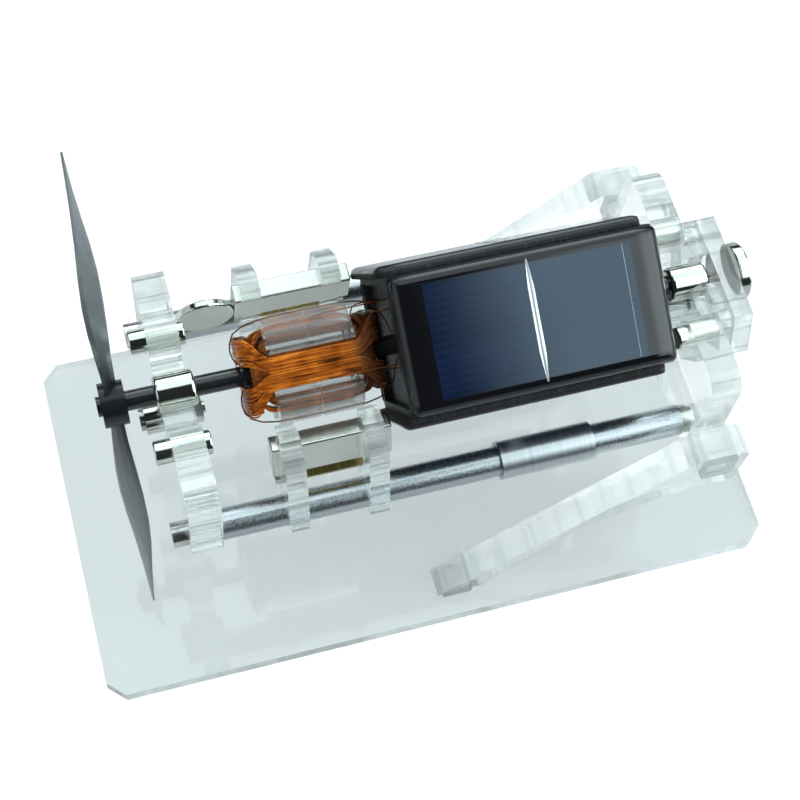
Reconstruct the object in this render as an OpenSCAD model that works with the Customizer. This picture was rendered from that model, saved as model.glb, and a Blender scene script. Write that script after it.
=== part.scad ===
// Demonstration electric motor: a solar rotor that floats on magnets, on a clear stand.
// X runs along the shaft from the propeller to the needle, Y points away from the viewer, Z is up.
// The origin is the centre of the underside of the base plate.

/* [Base plate] */
// Length of the base plate along the shaft
base_l = 190; // [185:1:220]
// Width of the base plate
base_w = 101; // [97:1:130]
// Thickness of the base plate
base_t = 5; // [4.5:0.5:6]
// Size of the cut corners of the base plate
base_corner = 4.5; // [2:0.5:8]

/* [Rods and sleeves] */
// Height of the shaft above the table
shaft_h = 78; // [78:0.5:90]
// Diameter of the two rods
rod_d = 8; // [7:0.5:8.5]
// Length of the two rods
rod_l = 122; // [121.5:0.5:122.5]
// Distance between the two rods, centre to centre
rod_gap = 56.6; // [56:0.2:57]
// Height from the rods up to the shaft
rod_drop = 21.4; // [21:0.2:21.8]
// Diameter of the sleeves on the rods
sleeve_d = 10; // [9.4:0.2:11]
// Length of the sleeves
sleeve_l = 25; // [15:1:24.4]
// Distance from the front end of a rod to its sleeve
sleeve_start = 72.6; // [60:0.2:76]

/* [Brackets] */
// Thickness of the brackets and struts
plate_t = 8; // [7.5:0.5:8]
// Distance from the middle of the base plate to the front bracket
bracket_front = 67; // [62:0.5:70]
// Width across a bracket
bracket_w = 66.4; // [66:0.2:68]
// Height of a bracket above the shaft line
bracket_rise = 4.3; // [4.2:0.1:5]
// Radius of the outer top corners of a bracket
bracket_corner = 6; // [3:0.5:7]
// Width across the mouth of the notch that the ring magnets float in
notch_w = 28.4; // [28:0.2:28.8]
// Depth of that notch
notch_h = 10.8; // [10.4:0.1:11.2]

/* [Bearing magnets] */
// Diameter of the side magnets
side_magnet_d = 6; // [5:0.2:6.2]
// Length of the front side magnets
front_magnet_l = 14; // [10:0.5:14]
// Length of the rear side magnets
rear_magnet_l = 11; // [10:0.2:11]
// Distance from the shaft line out to a side magnet
side_magnet_out = 15.1; // [15:0.1:15.6]
// Diameter of the lower magnets
lower_magnet_d = 8; // [6:0.2:8.6]
// Length of the lower magnets
lower_magnet_l = 4.2; // [3:0.2:4.4]
// Outer diameter of the ring magnets on the shaft
ring_d = 9; // [8:0.1:9.4]
// Length of the ring magnets on the shaft
ring_l = 10; // [8:0.1:10]

/* [Thrust end] */
// Thickness of the spacer
spacer_t = 4; // [3.8:0.1:4.4]
// Thickness of the thrust plate
thrust_t = 5; // [4:0.5:8]
// Diameter of the disc magnets
disc_d = 15; // [12:0.2:15.2]
// Thickness of the thrust magnet
disc_t = 3; // [2:0.2:5]
// Diameter of the needle
needle_d = 2.5; // [2:0.1:3]

/* [Stator carriages] */
// Length of the block magnets
block_l = 30; // [28:0.2:30.2]
// Height of the block magnets
block_h = 10; // [9:0.2:10.2]
// Thickness of the block magnets
block_t = 5; // [4:0.1:5.1]
// Thickness of the clips
clip_t = 5; // [4:0.1:5.2]
// Distance between the two clips of a carriage, face to face
clip_gap = 15.6; // [14:0.2:15.8]
// Width across the flats of the brass bars between the clips
bar_w = 4.4; // [3.6:0.1:4.8]
// Thickness of the loose disc magnet
loose_disc_t = 2; // [1:0.1:2.4]

/* [Propeller] */
// Length of a blade from the shaft line to its tip
blade_r = 72; // [50:1:72]
// Width of a blade where it is widest
blade_w = 14; // [9:0.5:15]
// Diameter of the propeller hub
hub_d = 11; // [9:0.5:14]
// Length of the propeller hub
hub_l = 6; // [5:0.1:6.4]

/* [Solar rotor] */
// Diameter of the shaft
shaft_d = 5; // [4.4:0.2:5]
// Length of a solar panel
panel_l = 68; // [64:0.5:68]
// Width of a solar panel
panel_w = 34.4; // [33:0.2:34.8]
// Thickness of a solar panel
panel_t = 2.8; // [2.4:0.1:3]
// Wall of the square core tube
core_wall = 2; // [1.5:0.1:2.5]
// Length of a solar cell
cell_l = 52.5; // [45:0.5:56]
// Width of a solar cell
cell_w = 28; // [20:0.5:29]

/* [Armature] */
// Diameter of the coil formers
former_d = 28; // [27:0.2:28.2]
// Thickness of each coil former
former_t = 10.3; // [10:0.1:10.3]
// Width of the slots in a coil former
slot_w = 9.4; // [9.4:0.1:9.8]
// Diameter of the enamelled wire in the outer layer
wire_d = 0.6; // [0.5:0.02:0.6]
// Pitch of the outer layer
wire_pitch = 1.05; // [1.04:0.01:1.06]
// Diameter of the lead wires
lead_d = 0.4; // [0.3:0.05:0.5]

/* [Hidden] */

$fn = 64;

// Fits: a slip fit at the radius, and one overrun for all cuts
slip = 0.05;
cut = 1;

// Screws, nuts and plugs
screw_d = 3;
screw_depth = 8;
rod_head_d = 6.4;
rod_head_l = 3.9;
flat_head_d = 5.6;
flat_head_l = 1.2;
nut_w = 6.2;
nut_l = 2.2;
screw_rest = 0.8;
washer_d = 7.5;
washer_l = 2.2;
plug_d = 6.5;
plug_l = 3.9;
plug_round = 1.2;
bar_screw_d = 2.5;
bar_head_d = 4.2;
bar_head_l = 1.6;
bar_screw_depth = 4;

// Places along the shaft
bracket_x = -bracket_front;
rod_x = bracket_x + plate_t;
rear_x = rod_x + rod_l + washer_l;
spacer_x = rear_x + plate_t;
thrust_x = spacer_x + spacer_t;
disc_x = thrust_x + thrust_t;
rod_h = shaft_h - rod_drop;
rod_y = rod_gap / 2;

// Struts
strut_inset = 14.3;
strut_y = base_w / 2 - strut_inset;
strut_foot_back = 77.1;
strut_foot_l = 12.1;
strut_peg_l = 4;
strut_peg_inset = 2;
strut_reach = 2.3;
strut_corner = 2;
strut_top = 8.9;
strut_block_h = 19;
strut_block_l = 13.9;
strut_knee_back = 41.5;
strut_knee_drop = 22.1;
strut_elbow_back = 19.5;
strut_elbow_drop = 11.1;
tenon_h = 9.6;

// Brackets: the notch is given as shares of its half width and depth
notch_shares = [[1, 0], [0.79, 0.17], [0.74, 0.4], [0.72, 0.6], [0.56, 0.9], [0.35, 1]];
lower_magnet_drop = 12.6;
lobe_r = 7;
leg_r = 5.5;
arch_drop = 2;
cross_bar_drop = 8.4;
cross_bar_corner = 2.5;
front_magnet_lead = 4.3;
rear_magnet_lead = 3.2;

// Thrust plates
thrust_top_w = 29.2;
thrust_wide_w = 39;
thrust_bottom_w = 28;
thrust_rise = 4.5;
thrust_wide_drop = 7;
thrust_bottom_drop = 16;
pivot_hole_d = 12;
sight_hole_d = 4;
sight_hole_out = 12.3;
sight_hole_drop = 9;
sight_hole_rise = 0.5;

// Carriages, drawn upright about the rod: the first value points to the shaft, the second one up
near_lean = 16;
far_lean = 5;
near_block_x = 15;
near_clip_x = 17;
far_block_x = 15.5;
far_clip_x = 17.2;
block_in = 1.3;
block_up = 12;
clip_out = 5;
clip_shoulder = 18.5;
clip_lip = 3.5;
clip_top_out = 0.5;
clip_foot_r = 6;
clip_foot_angle = 146;
clip_waist = 7;
bar_in = 3.8;
bar_up = 9.5;
disc_centre_in = 5.2;
disc_centre_up = 15.9;

// Rotor
roll = 30;
hub_lead = 14;
shaft_lead = 1;
shaft_recess = 1;
front_ring_lead = 1;
rear_ring_lead = 0.2;
ring_edge = 0.9;
magnet_edge = 0.5;
magnet_step_count = 4;
ring_step_count = 5;
needle_depth = 6;
needle_gap = 0.1;
needle_point_d = 0.2;
needle_point_l = 2.1;
core_gap = 9;
core_short = 1;
end_plate_t = 2;
front_plate_inset = 2;
panel_lead = 0.2;
panel_step = 2.4;
panel_edge = 2.3;
panel_corner = 3;
edge_step_count = 5;
cell_t = 0.3;
busbar_w = 1.6;
busbar_l = 30;
busbar_t = 0.15;
busbar_tip_w = 0.4;
busbar_taper = 7;

// Blade: shares of its length, of its width and of its thickness, and the pitch of each station
blade_reach_shares = [0, 0.1, 0.22, 0.34, 0.46, 0.58, 0.7, 0.82, 0.92, 1];
blade_width_shares = [0.42, 0.5, 0.7, 0.9, 1, 0.95, 0.78, 0.54, 0.31, 0.07];
blade_thick_shares = [1, 0.9, 0.8, 0.7, 0.6, 0.5, 0.45, 0.4, 0.35, 0.3];
blade_pitches = [30, 29, 27, 25, 23, 20, 16, 13, 11, 10];
blade_t = 1.8;
blade_root = 3.5;
blade_lean = 23.2;
blade_side_count = 8;

// Armature
former_x = 27;
former_gap = 0.4;
former_core = 12.4;
former_half = former_t + former_gap / 2;
former_mid = bracket_x + former_x + former_half;
core_x = former_mid + former_half + core_gap;
core_l = panel_l - core_short;
core_half_w = 4.4;
core_low = 6.3;
core_top = 8.9;
core_arm_low = 7.1;
band_in = 2.9;
band_out_long = 9.2;
band_out_short = 6.8;
band_t_long = 2;
band_t_short = 2.1;
wire_n = 9.6;
wire_half_long = 17;
wire_half_short = 13.5;
wire_to_core = 0.9;
wire_spread = 2.75;
wire_fan_share = 0.75;
wire_rise = 1.2;
wire_ramp = 3;
tail_steps = [[0.4, 0, 1.4], [1.1, 0, 2.7], [2.4, 0, 3.2]];
turn_count = 8;
ring_count = 24;
wire_side_count = 6;
loop_power = 1 / 3;
loop_start_angle = 90;
loop_turn_angle = 360;
end_ring_count = 4;
core_point_count = 48;
lead_side_count = 8;

// Routes of the lead wires, from the left end of coil A through a slot to the end plate
far_route = [[-17.6, 3.3, 3], [-18.5, 4.8, 3.2], [-18.8, 6.6, 2.6], [-18.4, 8.6, 2], [-17.2, 10.6, 1.2],
             [-14.6, 11.9, 0.6], [-11, 12.6, 0.2], [-7, 12.9, 0], [7, 12.9, 0], [11, 12.8, 0], [14.5, 12.4, 0],
             [17.5, 11.4, 0.4], [19.6, 8.6, 1], [20.6, 5.8, 1.8], [20.9, 4, 2.4]];
near_route = [[-17.6, -3.3, 3], [-18.3, -4.8, 2.7], [-18.5, -6.8, 2.2], [-18.1, -8.8, 1.6],
              [-16.8, -10.6, 1], [-14.2, -12, 0.5], [-10, -12.8, 0], [-5, -13, 0], [7, -13, 0],
              [12, -12.9, 0], [15.5, -12.2, 0.3], [18.2, -10.8, 0.8], [19.9, -8, 1.4], [20.7, -5, 2.2]];
short_route = [[17.6, -5, -1], [18.4, -5.5, -0.7], [19.4, -5.9, -0.3]];
lead_ends = [[3.4, 2.6], [-3.6, 2.6], [-6, 0]];

function arc(c, r, from, to, steps) =
  [for (i = [0:steps]) let (a = from + (to - from) * i / steps) c + r * [cos(a), sin(a)]];

function flipped(points) = [for (i = [len(points) - 1:-1:0]) [-points[i][0], points[i][1]]];

module along_x(d, l) {
  rotate([0, 90, 0]) cylinder(d = d, h = l);
}

// A plated rod or disc along X, with round edges
module round_x(d, l) {
  r = d / 2;
  e = magnet_edge;
  rotate([0, 90, 0])
  rotate_extrude()
    polygon(concat([[0, 0]], arc([r - e, e], e, -90, 0, magnet_step_count),
                   arc([r - e, l - e], e, 0, 90, magnet_step_count), [[0, l]]));
}

// A flat outline in Y and Z, given its thickness along X
module cross_plate(t) {
  rotate([90, 0, 90]) linear_extrude(t) children();
}

// A wire through a list of points, with its section kept square to its run
function unit(v) = v / norm(v);
function run_at(p, i) = unit(p[min(i + 1, len(p) - 1)] - p[max(i - 1, 0)]);
function side_at(p, i, side) = unit(side - run_at(p, i) * (side * run_at(p, i)));

module wire(p, d, sides, side) {
  count = len(p);
  points = [for (i = [0:count - 1])
    let (u = side_at(p, i, side), v = cross(run_at(p, i), u))
    for (k = [0:sides - 1]) p[i] + d / 2 * (cos(360 * k / sides) * u + sin(360 * k / sides) * v)];
  skin = [for (i = [0:count - 2]) for (k = [0:sides - 1]) let (m = (k + 1) % sides)
    each [[i * sides + k, i * sides + m, i * sides + sides + m],
          [i * sides + k, i * sides + sides + m, i * sides + sides + k]]];
  first = [for (k = [sides - 1:-1:0]) k];
  last = [for (k = [0:sides - 1]) (count - 1) * sides + k];
  polyhedron(points, [for (f = concat(skin, [first], [last])) [for (i = [len(f) - 1:-1:0]) f[i]]]);
}

module clear_tint() {
  color([0.86, 0.91, 0.92, 0.5]) children();
}

// Base and struts

strut_x_end = spacer_x + strut_reach;
strut_foot_x = strut_x_end - strut_foot_back;
strut_mid_y = strut_y + plate_t / 2;

module base_plate() {
  a = base_l / 2;
  b = base_w / 2;
  c = base_corner;
  clear_tint()
  difference() {
    linear_extrude(base_t)
      polygon([[c - a, -b], [a - c, -b], [a, c - b], [a, b - c], [a - c, b], [c - a, b], [-a, b - c], [-a, c - b]]);
    for (side = [-1, 1])
      translate([strut_foot_x + strut_peg_inset, side * strut_mid_y - plate_t / 2, base_t - strut_peg_l])
        cube([strut_foot_l - 2 * strut_peg_inset, plate_t, strut_peg_l + cut]);
  }
}

module strut_outline() {
  top = rod_h + strut_top;
  low = top - strut_block_h;
  foot_end = strut_foot_x + strut_foot_l;
  polygon([[strut_foot_x, base_t], [foot_end, base_t],
           [strut_x_end - strut_knee_back, rod_h - strut_knee_drop],
           [strut_x_end - strut_elbow_back, rod_h - strut_elbow_drop],
           [strut_x_end - strut_corner, low], [strut_x_end, low + strut_corner],
           [strut_x_end, top - strut_corner], [strut_x_end - strut_corner, top],
           [strut_x_end - strut_block_l, top]]);
  translate([strut_foot_x + strut_peg_inset, base_t - strut_peg_l])
    square([strut_foot_l - 2 * strut_peg_inset, strut_peg_l + cut]);
}

module strut() {
  clear_tint()
  difference() {
    translate([0, strut_y + plate_t, 0]) rotate([90, 0, 0]) linear_extrude(plate_t) strut_outline();
    translate([rear_x, strut_y - cut, rod_h - tenon_h / 2])
      cube([plate_t, plate_t + 2 * cut, tenon_h]);
  }
}

module near_strut() {
  mirror([0, 1, 0]) strut();
}

module far_strut() {
  strut();
}

// Brackets

bracket_top = shaft_h + bracket_rise;
leg_outer = rod_y + leg_r;
leg_inner = rod_y - leg_r;
lobe_h = shaft_h - lower_magnet_drop;
arch_h = lobe_h - arch_drop;

function bracket_upper() =
  concat(arc([bracket_w / 2 - bracket_corner, bracket_top - bracket_corner], bracket_corner, 0, 90, 8),
         [for (s = notch_shares) [notch_w / 2 * s[0], bracket_top - notch_h * s[1]]]);

module front_outline() {
  lobe_turn = asin(arch_drop / lobe_r);
  right = concat(arc([0, lobe_h], lobe_r, -90, -lobe_turn, 12),
                 arc([(leg_inner + lobe_r) / 2, arch_h], (leg_inner - lobe_r) / 2, 180, 0, 16),
                 arc([rod_y, rod_h], leg_r, -180, 0, 16),
                 bracket_upper());
  polygon(concat(right, flipped(right)));
}

module rear_outline() {
  low = rod_h - cross_bar_drop;
  right = concat(arc([leg_outer - cross_bar_corner, low + cross_bar_corner], cross_bar_corner, -90, 0, 6),
                 [[leg_outer, rod_h]], bracket_upper());
  polygon(concat(right, flipped(right)));
}

module bracket_holes() {
  for (side = [-1, 1])
    translate([-cut, side * side_magnet_out, shaft_h]) along_x(side_magnet_d, plate_t + 2 * cut);
  translate([-cut, 0, lobe_h]) along_x(screw_d + 2 * slip, plate_t + 2 * cut);
}

module front_bracket() {
  clear_tint()
  translate([bracket_x, 0, 0])
  difference() {
    cross_plate(plate_t) front_outline();
    bracket_holes();
    for (side = [-1, 1])
      translate([-cut, side * rod_y, rod_h]) along_x(screw_d + 2 * slip, plate_t + 2 * cut);
  }
}

module rear_bracket() {
  clear_tint()
  translate([rear_x, 0, 0])
  difference() {
    union() {
      cross_plate(plate_t) rear_outline();
      translate([0, -strut_y - plate_t, rod_h - tenon_h / 2]) cube([plate_t, 2 * (strut_y + plate_t), tenon_h]);
    }
    bracket_holes();
    for (side = [-1, 1])
      translate([-cut, side * rod_y, rod_h]) along_x(plug_d + 2 * slip, plug_l + cut);
  }
}

module thrust_outline() {
  polygon([[-thrust_top_w / 2, shaft_h + thrust_rise], [thrust_top_w / 2, shaft_h + thrust_rise],
           [thrust_wide_w / 2, shaft_h - thrust_wide_drop], [thrust_bottom_w / 2, shaft_h - thrust_bottom_drop],
           [-thrust_bottom_w / 2, shaft_h - thrust_bottom_drop], [-thrust_wide_w / 2, shaft_h - thrust_wide_drop]]);
}

module thrust_spacer() {
  holes = [[-sight_hole_out, shaft_h - sight_hole_rise], [sight_hole_out, shaft_h - sight_hole_rise],
           [0, shaft_h - sight_hole_drop - sight_hole_rise]];
  clear_tint()
  translate([spacer_x, 0, 0])
  difference() {
    cross_plate(spacer_t) thrust_outline();
    translate([-cut, 0, shaft_h]) along_x(pivot_hole_d, spacer_t + 2 * cut);
    for (h = holes) translate([-cut, h[0], h[1]]) along_x(sight_hole_d, spacer_t + 2 * cut);
    translate([-cut, 0, lobe_h]) along_x(nut_w / cos(30) + 2 * slip, spacer_t + 2 * cut);
  }
}

module thrust_plate() {
  clear_tint() translate([thrust_x, 0, 0]) cross_plate(thrust_t) thrust_outline();
}

module thrust_magnet() {
  color("silver") translate([disc_x, 0, shaft_h]) round_x(disc_d, disc_t);
}

// Rods

module rod(side) {
  color([0.66, 0.69, 0.73])
  translate([rod_x, side * rod_y, rod_h])
  difference() {
    along_x(rod_d, rod_l);
    for (x = [-cut, rod_l - screw_depth]) translate([x, 0, 0]) along_x(screw_d + 2 * slip, screw_depth + cut);
  }
}

module near_rod() {
  rod(-1);
}

module far_rod() {
  rod(1);
}

module sleeve(side) {
  color([0.72, 0.74, 0.77])
  translate([rod_x + sleeve_start, side * rod_y, rod_h])
  difference() {
    along_x(sleeve_d, sleeve_l);
    translate([-cut, 0, 0]) along_x(rod_d + 2 * slip, sleeve_l + 2 * cut);
  }
}

module near_sleeve() {
  sleeve(-1);
}

module far_sleeve() {
  sleeve(1);
}

module front_rod_screws() {
  color([0.62, 0.62, 0.6])
  for (side = [-1, 1])
    translate([bracket_x, side * rod_y, rod_h]) {
      translate([-rod_head_l, 0, 0]) along_x(rod_head_d, rod_head_l);
      along_x(screw_d, plate_t + screw_depth - slip);
    }
}

// Stepped plugs: a stub in the rod, a washer, and a round end in the rear bracket
module rear_rod_plugs() {
  stub = screw_depth - slip;
  tip = washer_l + plug_l;
  color([0.62, 0.62, 0.6])
  for (side = [-1, 1])
    translate([rear_x - washer_l, side * rod_y, rod_h])
    rotate([0, 90, 0])
    rotate_extrude()
      polygon(concat([[0, -stub], [screw_d / 2, -stub], [screw_d / 2, 0], [washer_d / 2, 0],
                      [washer_d / 2, washer_l], [plug_d / 2, washer_l]],
                     arc([plug_d / 2 - plug_round, tip - plug_round], plug_round, 0, 90, 6), [[0, tip]]));
}

// Bearing magnets

module side_magnets(x, l) {
  color("silver")
  for (side = [-1, 1])
    translate([x, side * side_magnet_out, shaft_h]) round_x(side_magnet_d, l);
}

module front_side_magnets() {
  side_magnets(bracket_x - front_magnet_lead, front_magnet_l);
}

module rear_side_magnets() {
  side_magnets(rear_x - rear_magnet_lead, rear_magnet_l);
}

module lower_magnet(x) {
  color("silver")
  translate([x - lower_magnet_l, 0, lobe_h])
  difference() {
    along_x(lower_magnet_d, lower_magnet_l);
    translate([-cut, 0, 0]) along_x(screw_d + 2 * slip, lower_magnet_l + 2 * cut);
  }
}

module front_lower_magnet() {
  lower_magnet(bracket_x);
}

module rear_lower_magnet() {
  lower_magnet(rear_x);
}

module lower_magnet_screws() {
  color([0.62, 0.62, 0.6])
  for (x = [bracket_x, rear_x])
    translate([x - lower_magnet_l, 0, lobe_h]) {
      translate([-flat_head_l, 0, 0]) along_x(flat_head_d, flat_head_l);
      along_x(screw_d, lower_magnet_l + plate_t + nut_l + screw_rest);
    }
}

module lower_magnet_nuts() {
  color([0.62, 0.62, 0.6])
  for (x = [bracket_x, rear_x])
    translate([x + plate_t, 0, lobe_h])
    difference() {
      rotate([0, 90, 0]) cylinder(d = nut_w / cos(30), h = nut_l, $fn = 6);
      translate([-cut, 0, 0]) along_x(screw_d + 2 * slip, nut_l + 2 * cut);
    }
}

// Stator carriages

module on_near_rod(x) {
  translate([rod_x + x, -rod_y, rod_h]) rotate([-near_lean, 0, 0]) children();
}

module on_far_rod(x) {
  translate([rod_x + x, rod_y, rod_h]) rotate([far_lean, 0, 0]) mirror([0, 1, 0]) children();
}

module clip_outline() {
  inner = block_in + block_t;
  shelf = block_up + block_h;
  polygon(concat(arc([0, 0], clip_foot_r, -clip_foot_angle, 0, 14),
                 [[inner, clip_waist], [inner, block_up], [block_in, block_up], [block_in, shelf],
                  [inner, shelf], [inner, shelf + clip_lip], [clip_top_out, shelf + clip_lip],
                  [-clip_out, clip_shoulder]]));
}

module clip() {
  clear_tint()
  difference() {
    cross_plate(clip_t) clip_outline();
    translate([-cut, 0, 0]) along_x(rod_d + 2 * slip, clip_t + 2 * cut);
    translate([-cut, bar_in, bar_up]) along_x(bar_screw_d + 2 * slip, clip_t + 2 * cut);
  }
}

module round_square(a, b) {
  e = magnet_edge;
  polygon(concat(arc([e, e], e, -180, -90, magnet_step_count), arc([a - e, e], e, -90, 0, magnet_step_count),
                 arc([a - e, b - e], e, 0, 90, magnet_step_count), arc([e, b - e], e, 90, 180, magnet_step_count)));
}

// A plated block with round edges
module block() {
  color("silver") translate([0, block_in, block_up])
  intersection() {
    linear_extrude(block_h) round_square(block_l, block_t);
    translate([0, block_t, 0]) rotate([90, 0, 0]) linear_extrude(block_t) round_square(block_l, block_h);
    rotate([90, 0, 90]) linear_extrude(block_l) round_square(block_t, block_h);
  }
}

module bar() {
  color([0.72, 0.6, 0.25])
  translate([clip_t, bar_in, bar_up])
  difference() {
    rotate([0, 90, 0]) rotate([0, 0, 30]) cylinder(d = bar_w / cos(30), h = clip_gap, $fn = 6);
    for (x = [-cut, clip_gap - bar_screw_depth])
      translate([x, 0, 0]) along_x(bar_screw_d + 2 * slip, bar_screw_depth + cut);
  }
}

module clip_screws() {
  color([0.62, 0.62, 0.6])
  translate([clip_t + clip_gap / 2, bar_in, bar_up])
  for (turn = [0, 180])
    rotate([0, 0, turn]) translate([clip_gap / 2 + clip_t, 0, 0]) {
      along_x(bar_head_d, bar_head_l);
      translate([slip - clip_t - bar_screw_depth, 0, 0]) along_x(bar_screw_d, clip_t + bar_screw_depth - slip);
    }
}

module near_block_magnet() {
  on_near_rod(near_block_x) block();
}

module near_front_clip() {
  on_near_rod(near_clip_x) clip();
}

module near_rear_clip() {
  on_near_rod(near_clip_x + clip_t + clip_gap) clip();
}

module near_bar() {
  on_near_rod(near_clip_x) bar();
}

module near_clip_screws() {
  on_near_rod(near_clip_x) clip_screws();
}

module far_block_magnet() {
  on_far_rod(far_block_x) block();
}

module far_front_clip() {
  on_far_rod(far_clip_x) clip();
}

module far_rear_clip() {
  on_far_rod(far_clip_x + clip_t + clip_gap) clip();
}

module far_bar() {
  on_far_rod(far_clip_x) bar();
}

module far_clip_screws() {
  on_far_rod(far_clip_x) clip_screws();
}

// A disc that clings to the end of the far block
module loose_disc_magnet() {
  color("silver")
  on_far_rod(far_block_x)
  translate([-disc_d / 2, disc_centre_in - loose_disc_t / 2, disc_centre_up])
    rotate([0, 0, 90]) round_x(disc_d, loose_disc_t);
}

// Rotor pieces on the shaft

hub_x = bracket_x - hub_lead;
shaft_x = hub_x - shaft_lead;
shaft_end = rear_x - rear_ring_lead + ring_l - shaft_recess;
shaft_l = shaft_end - shaft_x;

module blade() {
  long = blade_r - blade_root;
  points = [for (i = [0:len(blade_reach_shares) - 1])
    let (w = blade_w / 2 * blade_width_shares[i], h = blade_t / 2 * blade_thick_shares[i], a = -blade_pitches[i])
    for (k = [0:blade_side_count - 1])
      let (u = w * cos(360 * k / blade_side_count), v = h * sin(360 * k / blade_side_count))
      [v * cos(a) - u * sin(a), v * sin(a) + u * cos(a), blade_root + long * blade_reach_shares[i]]];
  n = blade_side_count;
  stations = len(blade_reach_shares);
  skin = [for (i = [0:stations - 2]) for (k = [0:n - 1]) let (m = (k + 1) % n)
    each [[i * n + k, i * n + m, i * n + n + m], [i * n + k, i * n + n + m, i * n + n + k]]];
  polyhedron(points, concat(skin, [[for (k = [n - 1:-1:0]) k]], [[for (k = [0:n - 1]) (stations - 1) * n + k]]));
}

module propeller() {
  color([0.2, 0.21, 0.22])
  translate([hub_x, 0, shaft_h]) rotate([-blade_lean, 0, 0])
  difference() {
    union() {
      along_x(hub_d, hub_l);
      for (turn = [0, 180]) translate([hub_l / 2, 0, 0]) rotate([turn, 0, 0]) blade();
    }
    translate([-cut, 0, 0]) along_x(shaft_d + 2 * slip, hub_l + 2 * cut);
  }
}

module shaft() {
  color([0.08, 0.08, 0.09])
  translate([shaft_x, 0, shaft_h])
  difference() {
    along_x(shaft_d, shaft_l);
    translate([shaft_l - needle_depth, 0, 0]) along_x(needle_d + 2 * slip, needle_depth + cut);
  }
}

module ring_magnet(x) {
  r = ring_d / 2;
  bore = shaft_d / 2 + slip;
  e = ring_edge;
  color("silver")
  translate([x, 0, shaft_h]) rotate([0, 90, 0])
  rotate_extrude()
    polygon(concat([[bore, 0]], arc([r - e, e], e, -90, 0, ring_step_count),
                   arc([r - e, ring_l - e], e, 0, 90, ring_step_count), [[bore, ring_l]]));
}

module front_ring_magnet() {
  ring_magnet(bracket_x - front_ring_lead);
}

module rear_ring_magnet() {
  ring_magnet(rear_x - rear_ring_lead);
}

module needle_tip() {
  root = shaft_end - needle_depth;
  l = thrust_x - needle_gap - root;
  color([0.75, 0.62, 0.3])
  translate([root, 0, shaft_h]) rotate([0, 90, 0])
  rotate_extrude()
    polygon([[0, 0], [needle_d / 2, 0], [needle_d / 2, l - needle_point_l], [needle_point_d / 2, l], [0, l]]);
}

// Square part of the rotor, turned by the angle at rest

module rolled(x) {
  translate([x, 0, shaft_h]) rotate([roll, 0, 0]) children();
}

core_half = panel_w / 2;

module core_tube() {
  inner = core_half - core_wall;
  color([0.07, 0.07, 0.08])
  rolled(core_x)
  difference() {
    translate([0, -core_half, -core_half]) cube([core_l, 2 * core_half, 2 * core_half]);
    translate([-cut, -inner, -inner]) cube([core_l + 2 * cut, 2 * inner, 2 * inner]);
  }
}

module end_plate(x) {
  inner = core_half - core_wall;
  color([0.07, 0.07, 0.08])
  rolled(x)
  difference() {
    translate([0, -inner, -inner]) cube([end_plate_t, 2 * inner, 2 * inner]);
    translate([-cut, 0, 0]) along_x(shaft_d + 2 * slip, end_plate_t + 2 * cut);
  }
}

module front_end_plate() {
  end_plate(core_x + front_plate_inset);
}

module rear_end_plate() {
  end_plate(core_x + core_l - end_plate_t);
}

function edge_profile(l) =
  concat([[0, 0]], arc([panel_edge, panel_t - panel_edge], panel_edge, 180, 90, edge_step_count),
         arc([l - panel_edge, panel_t - panel_edge], panel_edge, 90, 0, edge_step_count), [[l, 0]]);

// A cast board with round upper edges and a shallow seat for its cell
module panel() {
  w = panel_w / 2;
  l = panel_l;
  c = panel_corner;
  difference() {
    intersection() {
      linear_extrude(panel_t)
        polygon(concat(arc([c, c - w], c, -180, -90, edge_step_count), arc([l - c, c - w], c, -90, 0, edge_step_count),
                       arc([l - c, w - c], c, 0, 90, edge_step_count), arc([c, w - c], c, 90, 180, edge_step_count)));
      translate([0, w, 0]) rotate([90, 0, 0]) linear_extrude(panel_w) polygon(edge_profile(l));
      translate([0, -w, 0]) rotate([90, 0, 90]) linear_extrude(l) polygon(edge_profile(panel_w));
    }
    translate([(l - cell_l) / 2, -cell_w / 2, panel_t - cell_t]) cube([cell_l, cell_w, cell_t + cut]);
  }
}

panel_turns = [0, 90, 180, 270];
panel_shifts = [0, -panel_step, 0, -panel_step];

module on_side(i) {
  rolled(core_x - panel_lead + panel_shifts[i]) rotate([-panel_turns[i], 0, 0]) translate([0, 0, core_half]) children();
}

module dark_board() {
  color([0.05, 0.05, 0.06]) children();
}

module top_panel() {
  dark_board() on_side(0) panel();
}

module far_panel() {
  dark_board() on_side(1) panel();
}

module bottom_panel() {
  dark_board() on_side(2) panel();
}

module near_panel() {
  dark_board() on_side(3) panel();
}

module solar_cells() {
  color([0.08, 0.1, 0.25])
  for (i = [0:3])
    on_side(i) translate([(panel_l - cell_l) / 2, -cell_w / 2, panel_t - cell_t]) cube([cell_l, cell_w, cell_t]);
}

// The bar on a cell narrows to both ends
module busbar_outline() {
  l = busbar_l / 2;
  m = l - busbar_taper;
  w = busbar_w / 2;
  tip = busbar_tip_w / 2;
  polygon([[-tip, -l], [tip, -l], [w, -m], [w, m], [tip, l], [-tip, l], [-w, m], [-w, -m]]);
}

module cell_busbars() {
  color([0.85, 0.86, 0.85])
  for (i = [0:3])
    on_side(i) translate([panel_l / 2, 0, panel_t]) linear_extrude(busbar_t) busbar_outline();
}

// Coil formers: a disc with four slots, which leaves four lobes on a square core
module former(x) {
  half = former_core / 2;
  clear_tint()
  rolled(x)
  difference() {
    along_x(former_d, former_t);
    for (turn = [0:90:270])
      rotate([turn, 0, 0]) translate([-cut, -slot_w / 2, half]) cube([former_t + 2 * cut, slot_w, former_d]);
    translate([-cut, 0, 0]) along_x(shaft_d + 2 * slip, former_t + 2 * cut);
  }
}

module front_coil_former() {
  former(former_mid - former_half);
}

module rear_coil_former() {
  former(former_mid + former_gap / 2);
}

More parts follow.
